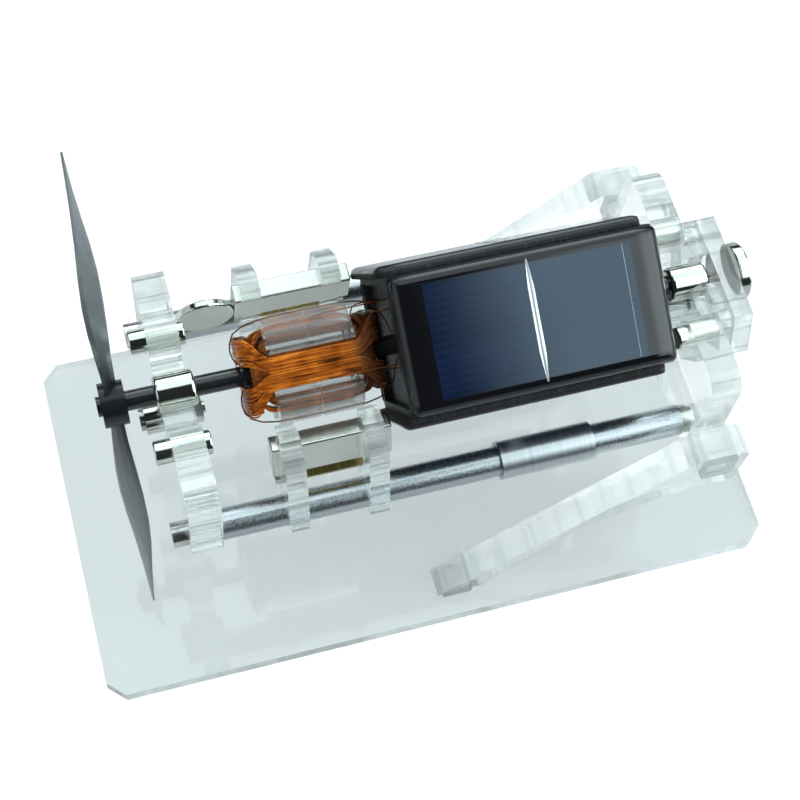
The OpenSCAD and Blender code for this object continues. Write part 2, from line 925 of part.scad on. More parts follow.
// Coils. The first value runs along the shaft, the second across the slot and the third outwards.

function signed(v) = sign(v) * pow(abs(v), loop_power);
function oval(a, n, t) = [a * signed(cos(t)), n * signed(sin(t))];

// The packed inner layers: legs in the slots, arms past the formers and bands either side of the shaft
module coil_core(half, band_out, band_t) {
  end_x = half - wire_to_core;
  intersection() {
    rotate([90, 0, 0]) translate([0, 0, -band_out]) linear_extrude(2 * band_out)
      polygon([for (i = [0:core_point_count - 1]) oval(end_x, core_top, loop_turn_angle * i / core_point_count)]);
    union() {
      for (side = [-1, 1])
        translate([-former_half, -core_half_w, side > 0 ? core_low : -core_top])
          cube([2 * former_half, 2 * core_half_w, core_top - core_low]);
      for (end = [-1, 1]) for (side = [-1, 1]) {
        translate([0, 0, side > 0 ? core_arm_low : -core_top]) linear_extrude(core_top - core_arm_low)
          polygon([[end * former_half, -end * core_half_w], [end * end_x, -end * band_out],
                   [end * end_x, end * band_out], [end * former_half, end * core_half_w]]);
        translate([end > 0 ? end_x - band_t : -end_x, side > 0 ? band_in : -band_out, -core_top])
          cube([band_t, band_out - band_in, 2 * core_top]);
      }
    }
  }
}

function ease(x) = let (c = max(0, min(1, x))) c * c * (3 - 2 * c);

// One place on the outer layer, after so many loops: half a pitch before and after the middle of a top leg
function turn_point(half, fan, loops) =
  let (k = floor(loops), share = loops - k, q = oval(half, wire_n, loop_start_angle + loop_turn_angle * share),
       step = share < 0.25 ? 2 * share : share > 0.75 ? 2 * share - 1 : 0.5,
       across = (k + step - turn_count / 2) * wire_pitch,
       side = across > 0 ? 1 : -1,
       apart = wire_spread + fan * (abs(across) - wire_pitch / 2),
       out = ease((abs(q[0]) - former_half) / (half - wire_to_core - former_half)) * apart)
  [q[0], across + side * out, q[1]];

lead_x = core_x + front_plate_inset - former_mid;

// The wire comes from the end plate into the first loop, and the last loop goes back there past the coil's end
function turn_path(half, fan) =
  let (body = [for (i = [0:turn_count * ring_count - end_ring_count]) turn_point(half, fan, i / ring_count)],
       a = body[0], b = body[len(body) - 1], up = [0, 0, wire_rise], step = [wire_ramp, 0, 0],
       tail = [for (s = tail_steps) b + s])
  concat([[lead_x, a[1], a[2] + wire_rise], [lead_x - wire_ramp, a[1], a[2] + wire_rise]],
         [a + 2 * step + up, a + step + up / 2], body, tail, [[lead_x, b[1], tail[2][2]]]);

module coil_turns(half, fan) {
  wire(turn_path(half, fan), wire_d, wire_side_count, [0, 1, 0]);
}

module coil_a_core() {
  color([0.6, 0.29, 0.1]) rolled(former_mid) coil_core(wire_half_long, band_out_long, band_t_long);
}

module coil_a_turns() {
  color([0.8, 0.42, 0.15]) rolled(former_mid) coil_turns(wire_half_long, wire_fan_share);
}

module coil_b_core() {
  color([0.6, 0.29, 0.1]) rolled(former_mid) rotate([-90, 0, 0]) coil_core(wire_half_short, band_out_short, band_t_short);
}

module coil_b_turns() {
  color([0.8, 0.42, 0.15]) rolled(former_mid) rotate([-90, 0, 0]) coil_turns(wire_half_short, 0);
}

// Each lead ends straight and square on the end plate
module lead_wires() {
  routes = [far_route, near_route, short_route];
  color([0.45, 0.22, 0.1])
  rolled(former_mid)
  for (i = [0:2])
    wire(concat(routes[i], [for (back = [lead_d, 0]) [lead_x - back, lead_ends[i][0], lead_ends[i][1]]]),
         lead_d, lead_side_count, [0, 0, 1]);
}

// Least gap of the outer layer to itself, measured between its points
function self_gap(p) =
  min([for (i = [0:len(p) - 1]) for (j = [i + ring_count / 2:ring_count * 2 + i])
    if (j < len(p)) norm(p[i] - p[j])]) - wire_d;
echo(gap_a = self_gap(turn_path(wire_half_long, wire_fan_share)), gap_b = self_gap(turn_path(wire_half_short, 0)));

base_plate();
near_strut();
far_strut();
front_bracket();
rear_bracket();
thrust_spacer();
thrust_plate();
thrust_magnet();
near_rod();
far_rod();
near_sleeve();
far_sleeve();
front_rod_screws();
rear_rod_plugs();
front_side_magnets();
rear_side_magnets();
front_lower_magnet();
rear_lower_magnet();
lower_magnet_screws();
lower_magnet_nuts();
near_block_magnet();
near_front_clip();
near_rear_clip();
near_bar();
near_clip_screws();
far_block_magnet();
far_front_clip();
far_rear_clip();
far_bar();
far_clip_screws();
loose_disc_magnet();
propeller();
shaft();
front_ring_magnet();
rear_ring_magnet();
needle_tip();
core_tube();
front_end_plate();
rear_end_plate();
top_panel();
near_panel();
bottom_panel();
far_panel();
solar_cells();
cell_busbars();
front_coil_former();
rear_coil_former();
coil_a_core();
coil_a_turns();
coil_b_core();
coil_b_turns();
lead_wires();
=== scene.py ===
import math
import random

import bpy
from mathutils import Matrix, Vector


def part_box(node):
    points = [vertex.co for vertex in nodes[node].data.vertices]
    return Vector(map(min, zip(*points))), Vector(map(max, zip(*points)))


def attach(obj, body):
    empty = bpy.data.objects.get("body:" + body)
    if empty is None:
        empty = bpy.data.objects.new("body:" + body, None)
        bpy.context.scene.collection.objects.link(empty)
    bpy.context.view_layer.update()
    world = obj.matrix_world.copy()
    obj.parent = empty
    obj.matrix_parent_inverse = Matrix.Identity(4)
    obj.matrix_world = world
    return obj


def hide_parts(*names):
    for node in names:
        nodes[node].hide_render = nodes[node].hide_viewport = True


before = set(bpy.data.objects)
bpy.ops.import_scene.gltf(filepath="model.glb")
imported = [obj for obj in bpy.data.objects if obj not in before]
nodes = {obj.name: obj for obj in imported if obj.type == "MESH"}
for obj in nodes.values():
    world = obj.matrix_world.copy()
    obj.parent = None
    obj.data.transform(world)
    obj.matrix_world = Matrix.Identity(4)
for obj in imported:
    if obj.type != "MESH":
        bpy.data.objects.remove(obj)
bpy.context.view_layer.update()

# A solar motor whose rotor floats on magnets. Lengths are in metres, in the frame that the CAD
# model and the simulation share: x runs along the shaft from the propeller, and z is up. The CAD
# pieces keep their shapes and get a material each. Only the outer layers of the two coils are made
# again, as finer strands.

MM = 0.001

# Places that are read from the frame

SHAFT_LOW, SHAFT_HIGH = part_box("shaft")
AXIS_H = (SHAFT_LOW[2] + SHAFT_HIGH[2]) / 2
ROLL = math.radians(30)  # how far the square rotor is turned at rest
FORMER_LOW, FORMER_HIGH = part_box("front_coil_former")[0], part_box("rear_coil_former")[1]
FORMER_MID = (FORMER_LOW[0] + FORMER_HIGH[0]) / 2
FORMER_HALF = (FORMER_HIGH[0] - FORMER_LOW[0]) / 2
PLATE_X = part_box("front_end_plate")[0][0]
PANEL_LOW, PANEL_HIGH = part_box("top_panel")
PANEL_MID = (PANEL_LOW[0] + PANEL_HIGH[0]) / 2
CELL_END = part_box("solar_cells")[1][0]
BARS_LOW, BARS_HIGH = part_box("cell_busbars")


def rolled(x, u, n):
    """A point of the square rotor, from its place along the shaft, across and outwards."""
    return Vector((
        x,
        u * math.cos(ROLL) - n * math.sin(ROLL),
        AXIS_H + u * math.sin(ROLL) + n * math.cos(ROLL),
    ))


# Material helpers


MIX_SOCKETS = {"VECTOR": (4, 5, 1), "RGBA": (6, 7, 2)}  # a Mix node's inputs A and B, and output


class Nodes:
    """Short calls that add nodes to a node tree. Most of them return the socket of the result."""

    def __init__(self, tree):
        self.tree = tree

    def add(self, kind, **settings):
        node = self.tree.nodes.new(kind)
        for key, value in settings.items():
            setattr(node, key, value)
        return node

    def link(self, source, target):
        self.tree.links.new(source, target)

    def math(self, operation, a, b=None):
        node = self.add("ShaderNodeMath", operation=operation)
        for socket, value in zip(node.inputs, (a, b)):
            if value is None:
                continue
            if isinstance(value, (int, float)):
                socket.default_value = value
            else:
                self.link(value, socket)
        return node.outputs["Value"]

    def blend(self, a, b, share):
        """A mean of two values, with this share of the first one."""
        parts = self.math("MULTIPLY", a, share), self.math("MULTIPLY", b, 1 - share)
        return self.math("ADD", *parts)

    def spread(self, value, low, high, to_low, to_high, **settings):
        """A value between two limits, moved to between two others and held there."""
        node = self.add("ShaderNodeMapRange", **settings)
        limits = zip(("From Min", "From Max", "To Min", "To Max"), (low, high, to_low, to_high))
        for socket, number in limits:
            node.inputs[socket].default_value = number
        self.link(value, node.inputs["Value"])
        return node.outputs["Result"]

    def mix(self, factor, a, b, kind="RGBA"):
        """Goes from a to b as the factor goes from 0 to 1. Both are colours or vectors."""
        node = self.add("ShaderNodeMix", data_type=kind)
        self.link(factor, node.inputs["Factor"])
        *ends, result = MIX_SOCKETS[kind]
        for end, value in zip(ends, (a, b)):
            if isinstance(value, tuple):
                node.inputs[end].default_value = (*value, 1)
            else:
                self.link(value, node.inputs[end])
        return node.outputs[result]

    def split(self, vector):
        node = self.add("ShaderNodeSeparateXYZ")
        self.link(vector, node.inputs[0])
        return node.outputs


class Shader(Nodes):
    """A material with one Principled shader. Keywords set its other sockets.

    Its plain colour and roughness stand for the material where a viewer runs no nodes.
    """

    def __init__(self, name, color, roughness, metallic=0.0, **sockets):
        self.material = bpy.data.materials.new(name)
        self.material.use_nodes = True
        super().__init__(self.material.node_tree)
        self.bsdf = self.tree.nodes["Principled BSDF"]
        self.set("Base Color", (*color, 1))
        self.set("Roughness", roughness)
        self.set("Metallic", metallic)
        for socket, value in sockets.items():
            self.set(socket.replace("_", " "), value)

    def set(self, socket, value):
        self.bsdf.inputs[socket].default_value = value

    def drive(self, socket, value):
        self.link(value, self.bsdf.inputs[socket])

    def place(self, scale=(1, 1, 1), turn=0.0):
        """Coordinates in metres from the shaft's axis at rest, turned about it and then scaled."""
        vector = self.add("ShaderNodeTexCoord").outputs["Object"]
        steps = (("Location", (0, 0, -AXIS_H)), ("Rotation", (-turn, 0, 0)), ("Scale", scale))
        for socket, value in steps:
            step = self.add("ShaderNodeMapping", vector_type="POINT")
            step.inputs[socket].default_value = value
            self.link(vector, step.inputs["Vector"])
            vector = step.outputs["Vector"]
        return vector

    def noise(self, per_metre, detail=3.0, roughness=0.5, turn=0.0):
        """Noise with so many features in a metre: one number, or one for each axis."""
        scale = per_metre if isinstance(per_metre, tuple) else (per_metre,) * 3
        node = self.add("ShaderNodeTexNoise")
        node.inputs["Scale"].default_value = 1.0
        node.inputs["Detail"].default_value = detail
        node.inputs["Roughness"].default_value = roughness
        self.link(self.place(scale, turn), node.inputs["Vector"])
        return node.outputs["Fac"]

    def ramp(self, value, stops):
        node = self.add("ShaderNodeValToRGB")
        band = node.color_ramp
        while len(band.elements) < len(stops):
            band.elements.new(0.5)
        for element, (place, color) in zip(band.elements, stops):
            element.position = place
            element.color = (*color, 1)
        self.link(value, node.inputs["Fac"])
        return node.outputs["Color"]

    def soft_edges(self, radius, where):
        """The surface's normal, with its edges rounded off in the places that are asked for."""
        bevel = self.add("ShaderNodeBevel", samples=6)
        bevel.inputs["Radius"].default_value = radius
        plain = self.add("ShaderNodeNewGeometry")
        return self.mix(where, plain.outputs["Normal"], bevel.outputs["Normal"], "VECTOR")

    def bump(self, height, strength, distance, normal=None):
        node = self.add("ShaderNodeBump")
        if normal is not None:
            self.link(normal, node.inputs["Normal"])
        node.inputs["Strength"].default_value = strength
        node.inputs["Distance"].default_value = distance
        self.link(height, node.inputs["Height"])
        self.drive("Normal", node.outputs["Normal"])

    def facing(self, axis):
        """How far the surface faces along one axis of the frame at rest, either way."""
        normal = self.add("ShaderNodeTexCoord").outputs["Normal"]
        return self.math("ABSOLUTE", self.split(normal)[axis])


# Materials of the stand

FINE = 0.1 * MM  # depths of relief
COARSE = 0.2 * MM
THROUGH_SHEET = 18  # a cut edge's marks in a metre of the sheet's thickness, so they run through it
FACE_FROM, EDGE_TO = 0.75, 0.55  # how far polished faces and cut edges look along the thin axis


def acrylic(
    name, thin_axis, tint, mark, edge_tint,
    haze=0.01, stripes=800, solid=0.8, edge_clear=0.87, bend=1.42,
):
    """Clear sheet: polished faces, and cut edges with fine marks that run through the sheet."""
    s = Shader(
        name, tint, 0.03,
        Transmission_Weight=1.0, IOR=bend, Coat_Weight=0.3, Coat_Roughness=0.03, Alpha=solid,
    )
    stretch = [stripes] * 3
    stretch[thin_axis] = THROUGH_SHEET
    cut_marks = s.noise(tuple(stretch), 1.5)
    edge = s.spread(s.facing(thin_axis), EDGE_TO, FACE_FROM, 1.0, 0.0)
    marked = s.ramp(cut_marks, [(0.36, mark), (0.43, edge_tint), (0.6, tint)])
    s.drive("Base Color", s.mix(edge, tint, marked))
    smears = s.noise(30, 4.0, 0.6)
    face_rough = s.spread(smears, 0.35, 0.75, haze, haze + 0.04)
    edge_rough = s.spread(cut_marks, 0.3, 0.7, 0.12, 0.04)
    flat_rough = s.math("MULTIPLY", s.math("SUBTRACT", 1.0, edge), face_rough)
    s.drive("Roughness", s.math("ADD", s.math("MULTIPLY", edge, edge_rough), flat_rough))
    s.drive("Transmission Weight", s.spread(edge, 0.0, 1.0, 0.98, edge_clear))
    s.bump(s.math("MULTIPLY", cut_marks, edge), 0.12, COARSE)
    return s.material


def nickel(name, polished, dull):
    """Nickel plate, which stains lightly in patches."""
    s = Shader(name, (0.58, 0.6, 0.55), polished, 1.0)
    stains = s.noise(70, 4.0, 0.55)
    s.drive("Base Color", s.ramp(stains, [(0.3, (0.53, 0.55, 0.5)), (0.7, (0.63, 0.65, 0.6))]))
    s.drive("Roughness", s.spread(stains, 0.3, 0.8, polished, dull))
    s.bump(s.noise(900, 2.0), 0.04, FINE)
    return s.material


def worn_rod():
    """Drawn aluminium: lines along the rod, and a fine speckle of dents and scratches."""
    s = Shader("worn_rod", (0.6, 0.62, 0.66), 0.3, 1.0)
    drawn = s.noise((40, 1500, 1500), 2.0)
    specks = s.noise((1300, 2300, 2300), 4.0, 0.7)
    both = s.blend(drawn, specks, 0.6)
    stops = [(0.3, (0.36, 0.4, 0.42)), (0.54, (0.44, 0.48, 0.5)), (0.68, (0.6, 0.64, 0.66))]
    s.drive("Base Color", s.ramp(both, stops))
    s.drive("Roughness", s.spread(specks, 0.35, 0.65, 0.24, 0.36))
    s.bump(both, 0.03, FINE)
    return s.material


def brushed_sleeve():
    """Turned aluminium, with fine rings round it."""
    s = Shader("brushed_sleeve", (0.6, 0.62, 0.65), 0.3, 1.0)
    turned = s.noise((4200, 40, 40), 2.0)
    stops = [(0.3, (0.42, 0.46, 0.475)), (0.7, (0.54, 0.58, 0.595))]
    s.drive("Base Color", s.ramp(turned, stops))
    s.drive("Roughness", s.spread(turned, 0.3, 0.7, 0.28, 0.36))
    s.bump(turned, 0.05, FINE)
    return s.material


def plated_steel():
    s = Shader("plated_steel", (0.5, 0.49, 0.46), 0.22, 1.0)
    tone = s.noise(260)
    s.drive("Base Color", s.ramp(tone, [(0.3, (0.34, 0.345, 0.33)), (0.7, (0.68, 0.69, 0.66))]))
    s.bump(s.noise(1800, 2.0), 0.15, FINE)
    return s.material


def machined_brass():
    s = Shader("machined_brass", (0.4, 0.31, 0.11), 0.28, 1.0)
    marks = s.noise((1500, 160, 160))
    s.drive("Base Color", s.ramp(marks, [(0.3, (0.3, 0.23, 0.07)), (0.7, (0.48, 0.38, 0.15))]))
    s.bump(marks, 0.1, FINE)
    return s.material


# Materials of the rotor

BLADE_ROOT, BLADE_TIP = 6 * MM, 70 * MM  # from the shaft's axis


def satin_plastic():
    """Moulded propeller plastic, with a painted sheen that lightens it from the hub to the tips."""
    s = Shader("satin_plastic", (0.035, 0.04, 0.043), 0.25, Specular_IOR_Level=0.35)
    grain = s.noise(500, 2.0)
    shade = s.noise(14, 1.0)
    here = s.split(s.place())
    squares = [s.math("POWER", here[axis], 2.0) for axis in (1, 2)]
    reach = s.math("SQRT", s.math("ADD", *squares))
    # Painted sheen and shade: dark at the hub, and lighter with the distance from the shaft towards
    # the tips.
    along = s.spread(reach, BLADE_ROOT, BLADE_TIP, 0.0, 1.0)
    both = s.blend(along, shade, 0.7)
    stops = [(0.18, (0.004, 0.005, 0.006)), (0.45, (0.05, 0.061, 0.065)), (0.9, (0.08, 0.096, 0.1))]
    s.drive("Base Color", s.ramp(both, stops))
    s.drive("Roughness", s.spread(shade, 0.3, 0.7, 0.2, 0.3))
    s.bump(grain, 0.05, FINE)
    return s.material


def black_shaft():
    s = Shader("black_shaft", (0.006, 0.007, 0.008), 0.16, Coat_Weight=0.2, Coat_Roughness=0.08)
    drawn = s.noise((30, 1200, 1200), 2.0)
    s.drive("Roughness", s.spread(drawn, 0.3, 0.7, 0.12, 0.26))
    s.bump(drawn, 0.08, FINE)
    return s.material


def matt_board():
    s = Shader("matt_board", (0.008, 0.008, 0.009), 0.5, Specular_IOR_Level=0.15)
    weave = s.noise(900, 4.0, 0.7)
    stops = [(0.3, (0.003, 0.003, 0.0035)), (0.7, (0.011, 0.011, 0.012))]
    s.drive("Base Color", s.ramp(weave, stops))
    s.drive("Roughness", s.spread(weave, 0.3, 0.7, 0.35, 0.6))
    s.bump(weave, 0.3, COARSE)
    return s.material


BOARD_TOP, RESIN_START = 18.3 * MM, 18.9 * MM  # outwards from the shaft's axis
CELL_HALF_WIDTH = 14.2 * MM
RIM_SLOPE = 0.17  # the fall of the resin beside the cell
END_FALL_L = 6 * MM  # the resin falls along this much of each end
END_FALL = 20.0
RIM_SIDE_GAP = 1.2 * MM  # the rounded rim starts this far beside the cell
RIM_END_L = 3 * MM
RIM_RADIUS = 0.9 * MM


def beside_shaft(s, here):
    """How far a place on a panel lies to the side of the panel's middle line."""
    return s.math("MINIMUM", s.math("ABSOLUTE", here[1]), s.math("ABSOLUTE", here[2]))


def rim_height(s, here):
    """The resin is flat over the cell, and falls away from it to the sides and to the ends."""
    past = s.math("MAXIMUM", s.math("SUBTRACT", beside_shaft(s, here), CELL_HALF_WIDTH), 0.0)
    along = s.math("ABSOLUTE", s.math("SUBTRACT", here[0], PANEL_MID))
    flat_end = PANEL_HIGH[0] - PANEL_MID - END_FALL_L
    end = s.math("MAXIMUM", s.math("SUBTRACT", along, flat_end), 0.0)
    drop = s.math("MULTIPLY", s.math("POWER", end, 2.0), -END_FALL)
    return s.math("ADD", s.math("MULTIPLY", past, -RIM_SLOPE), drop)


def rim_mask(s, here):
    """1 on the outer part of a panel's rim, and 0 round the cell."""
    beside = s.math("GREATER_THAN", beside_shaft(s, here), CELL_HALF_WIDTH + RIM_SIDE_GAP)
    low_end = s.math("LESS_THAN", here[0], PANEL_LOW[0] + RIM_END_L)
    high_end = s.math("GREATER_THAN", here[0], PANEL_HIGH[0] - RIM_END_L)
    return s.math("MAXIMUM", beside, s.math("MAXIMUM", low_end, high_end))


def cast_resin():
    """Black casting resin: a mirror gloss on top, and a rough cut on the sides of the board."""
    s = Shader("cast_resin", (0.004, 0.004, 0.005), 0.05, Specular_IOR_Level=0.4)
    here = s.split(s.place(turn=ROLL))
    out = s.math("MAXIMUM", s.math("ABSOLUTE", here[1]), s.math("ABSOLUTE", here[2]))
    low = s.spread(out, BOARD_TOP, RESIN_START, 1.0, 0.0)
    streaks = s.noise((2200, 260, 260), 4.0, 0.75)
    cut_side = s.ramp(streaks, [(0.52, (0.0008, 0.0008, 0.001)), (0.78, (0.034, 0.036, 0.038))])
    s.drive("Base Color", s.mix(low, (0.003, 0.003, 0.004), cut_side))
    s.drive("Roughness", s.spread(low, 0.0, 1.0, 0.05, 0.8))
    ripple = s.noise(45, 2.0)
    rough = s.math("ADD", s.math("MULTIPLY", low, streaks), s.math("MULTIPLY", ripple, 0.15))
    height = s.math("ADD", s.math("MULTIPLY", rough, 0.12 * MM), rim_height(s, here))
    s.bump(height, 1.0, 1.0, s.soft_edges(RIM_RADIUS, rim_mask(s, here)))
    return s.material


FINGER_PITCH = 1.9 * MM
FINGER_SHARE = 0.04  # half a finger's width, as a share of the pitch
END_LINE = 2.0 * MM  # from the cell's end
END_LINE_HALF = 0.06 * MM  # half of the line's width


def silicon():
    """A cell under resin: fine printed fingers along the shaft, and a light line near one end."""
    s = Shader("silicon_cell", (0.012, 0.016, 0.05), 0.05, Specular_Tint=(0.8, 1.0, 1.06, 1))
    here = s.split(s.place(turn=ROLL))
    phase = s.math("FRACT", s.math("DIVIDE", beside_shaft(s, here), FINGER_PITCH))
    to_finger = s.math("ABSOLUTE", s.math("SUBTRACT", phase, 0.5))
    finger = s.math("LESS_THAN", to_finger, FINGER_SHARE)
    tone = s.noise((25, 90, 90))
    base = s.ramp(tone, [(0.3, (0.002, 0.005, 0.016)), (0.7, (0.004, 0.009, 0.027))])
    lined = s.mix(s.math("MULTIPLY", finger, 0.05), base, (0.1, 0.12, 0.2))
    to_line = s.math("ABSOLUTE", s.math("SUBTRACT", here[0], CELL_END - END_LINE))
    line = s.math("LESS_THAN", to_line, END_LINE_HALF)
    s.drive("Base Color", s.mix(line, lined, (0.2, 0.22, 0.26)))
    s.bump(s.noise(45, 2.0), 0.05, 0.4 * MM)
    return s.material


BAR_HALF_WIDTH = 0.8 * MM
# The bars of the side panels sit further forward than those of the top and bottom panels.
BAR_MIDDLES = (BARS_LOW[0] + BAR_HALF_WIDTH, BARS_HIGH[0] - BAR_HALF_WIDTH)
STRIP_HALF, STRIP_FADE = 0.15 * MM, 0.34 * MM  # from a bar's middle line


def cell_metal():
    """The bar on a cell: two bright edges along it, and a duller strip between them."""
    s = Shader("cell_metal", (0.75, 0.77, 0.78), 0.35, 0.6)
    grain = s.noise((2600, 70, 70), 2.0)
    bright = s.ramp(grain, [(0.35, (0.42, 0.44, 0.46)), (0.55, (0.84, 0.86, 0.86))])
    here = s.split(s.place())[0]
    to_bars = [s.math("ABSOLUTE", s.math("SUBTRACT", here, middle)) for middle in BAR_MIDDLES]
    strip = s.spread(s.math("MINIMUM", *to_bars), STRIP_HALF, STRIP_FADE, 0.9, 0.0)
    s.drive("Base Color", s.mix(strip, bright, (0.13, 0.15, 0.16)))
    s.bump(grain, 0.1, FINE)
    return s.material


# The wire darkens towards the panels: dark varnish, and a painted shade that stands for the panels'
# shadow.
VARNISH_AND_SHADE_START, VARNISH_AND_SHADE_FULL = FORMER_MID + 9.5 * MM, FORMER_MID + 14.5 * MM  # along the shaft
VARNISH_AND_SHADE_TONE = (0.058, 0.02, 0.009)


def copper(name, dark, middle, light, roughness):
    """Enamelled wire in changing tones. Varnish and painted shade darken the end by the panels."""
    s = Shader(name, middle, roughness, 0.55, Specular_IOR_Level=0.12)
    strands = s.noise((90, 1700, 1700), 2.0, 0.55, turn=ROLL)
    patches = s.noise(160, 2.0)
    both = s.blend(strands, patches, 0.55)
    fresh = s.ramp(both, [(0.36, dark), (0.5, middle), (0.66, light)])
    along = s.math("ADD", s.split(s.place())[0], s.math("MULTIPLY", patches, 4 * MM))
    # Varnish and painted shade for the panels' shadow, growing along the shaft.
    varnish_and_shade = s.spread(along, VARNISH_AND_SHADE_START, VARNISH_AND_SHADE_FULL, 0.0, 0.88)
    s.drive("Base Color", s.mix(varnish_and_shade, fresh, VARNISH_AND_SHADE_TONE))
    s.bump(strands, 0.3, COARSE)
    return s.material


coil_copper = copper(
    "coil_copper", (0.05, 0.011, 0.002), (0.37, 0.09, 0.009), (0.74, 0.24, 0.027), 0.34,
)
# A darker copy of the same copper for the coils' cores: painted shade for the shadow under the
# outer strands.
coil_inner = copper(
    "coil_inner", (0.03, 0.008, 0.002), (0.12, 0.034, 0.006), (0.26, 0.08, 0.014), 0.5,
)
lead_copper = copper(
    "lead_copper", (0.03, 0.012, 0.008), (0.09, 0.04, 0.02), (0.2, 0.1, 0.05), 0.35,
)
plate_x = acrylic(
    "clear_plate_x", 0, (0.92, 0.965, 0.955), (0.42, 0.48, 0.46), (0.87, 0.925, 0.905),
    stripes=1100,
)
plate_y = acrylic(
    "clear_plate_y", 1, (0.955, 0.985, 0.975), (0.74, 0.8, 0.775), (0.9, 0.935, 0.92),
    stripes=420, solid=0.75, edge_clear=0.68,
)
plate_z = acrylic(
    "clear_plate_z", 2, (0.635, 0.695, 0.7), (0.7, 0.8, 0.77), (0.85, 0.93, 0.9),
    haze=0.02, stripes=300, solid=0.9,
)
plate_rotor = acrylic(
    "clear_former", 0, (0.8, 0.83, 0.81), (0.3, 0.33, 0.31), (0.78, 0.82, 0.8),
    solid=0.5, edge_clear=0.95, bend=1.45,
)

DRESS = {
    plate_x: "front_bracket rear_bracket thrust_spacer thrust_plate "
    "near_front_clip near_rear_clip far_front_clip far_rear_clip",
    plate_y: "near_strut far_strut",
    plate_z: "base_plate",
    plate_rotor: "front_coil_former rear_coil_former",
    nickel("nickel_plate", 0.06, 0.15): "thrust_magnet front_side_magnets rear_side_magnets "
    "front_lower_magnet rear_lower_magnet loose_disc_magnet front_ring_magnet rear_ring_magnet",
    nickel("nickel_block", 0.17, 0.24): "near_block_magnet far_block_magnet",
    worn_rod(): "near_rod far_rod",
    brushed_sleeve(): "near_sleeve far_sleeve",
    plated_steel(): "front_rod_screws rear_rod_plugs lower_magnet_screws lower_magnet_nuts "
    "near_clip_screws far_clip_screws",
    machined_brass(): "near_bar far_bar needle_tip",
    satin_plastic(): "propeller",
    black_shaft(): "shaft",
    matt_board(): "core_tube front_end_plate rear_end_plate",
    cast_resin(): "top_panel near_panel bottom_panel far_panel",
    silicon(): "solar_cells",
    cell_metal(): "cell_busbars",
    # The cores get the darker copper, a painted shade.
    coil_inner: "coil_a_core coil_b_core",
    coil_copper: "coil_a_turns coil_b_turns",
    lead_copper: "lead_wires",
}
for material, names in DRESS.items():
    for name in names.split():
        for slot in nodes[name].material_slots:
            slot.material = material

# Wound coils: the strands go round the formers, and fan out beyond them to pass the shaft

WIRE_N = 9.6 * MM  # outwards to the lowest layer
HALF_A, HALF_B = 17.0 * MM, 13.5 * MM  # coil B's ends nest inside coil A's
SPREAD = 2.75 * MM  # each half of a coil moves this far aside at the ends
FAN_A = 0.75  # and its outer strands move further, by this share of their place
FAN_FULL = 0.9 * MM  # the fan is full this far before the ends
STRAND_D = 0.36 * MM
STRANDS = 21
STRAND_PITCH = 0.37 * MM
LAYERS = 3
LAYER_STEP = 0.28 * MM
LOOP_STEPS = 48
LAST_STEP = STRANDS * LOOP_STEPS - LOOP_STEPS // 6  # the last loop stops early for its lead
SIDES = 6
ROUGH = ((-0.09, 0.09), (-0.14, 0.14), (-0.3, 0.35))  # mm: across, outwards and along
LOOSER_ENDS = 3  # the strands lie this much more unevenly at the ends
SWELL = 0.05 * MM
LEAD_HIGH, LEAD_LOW = 1.2 * MM, 0.6 * MM  # outwards from the start of the first loop
LEAD_SQUARE = 3 * MM  # the lead meets the end plate square for this length
LEAD_BEND, LEAD_START = 6 * MM, 3 * MM  # along from the middle of the formers
TAIL = ((0.4, 1.4), (1.1, 2.7), (2.4, 3.2))  # mm along and outwards from the last loop's end


def cube_root(v):
    return math.copysign(abs(v) ** (1 / 3), v)


def ease(x):
    c = min(1.0, max(0.0, x))
    return c * c * (3 - 2 * c)


def coil_points(half, fan, level, rng):
    """The run of one layer of a coil, as (along, across, outwards)."""
    rough = [
        tuple(rng.uniform(*limits) * MM for limits in ROUGH)
        for _ in range(STRANDS + 1)
    ]
    shift = (level % 2 - 0.5) * STRAND_PITCH / 2
    grow = level * LAYER_STEP
    points = []
    for i in range(LAST_STEP + 1):
        k, step = divmod(i, LOOP_STEPS)
        share = step / LOOP_STEPS
        t = 2 * math.pi * share
        sway, lift, slip = (
            a + (b - a) * share for a, b in zip(rough[k], rough[min(k + 1, STRANDS)])
        )
        along = (half + grow / 2) * cube_root(math.cos(math.pi / 2 + t))
        outward = (WIRE_N + grow) * cube_root(math.sin(math.pi / 2 + t))
        past = ease((abs(along) - FORMER_HALF) / (half - FAN_FULL - FORMER_HALF))
        middle = (k + share - STRANDS / 2) * STRAND_PITCH + shift
        side = 1 if middle > 0 else -1
        apart = side * past * (SPREAD + fan * abs(middle))
        across = middle + apart + sway * (1 + LOOSER_ENDS * past)
        swell = math.sin(5 * t + 1.7 * k) * SWELL
        along += math.copysign(past * slip, along)
        points.append((along, across, outward + math.copysign(lift + swell, outward)))
    return points


def with_leads(run):
    """A run with its two ends led to the end plate of the panels."""
    plate = PLATE_X - FORMER_MID
    first, last = run[0], run[-1]
    route = (
        (plate, LEAD_HIGH), (plate - LEAD_SQUARE, LEAD_HIGH),
        (LEAD_BEND, LEAD_HIGH), (LEAD_START, LEAD_LOW),
    )
    lead = [(along, first[1], first[2] + up) for along, up in route]
    tail = [(last[0] + along * MM, last[1], last[2] + up * MM) for along, up in TAIL]
    return lead + run + tail + [(plate, last[1], tail[-1][2])]


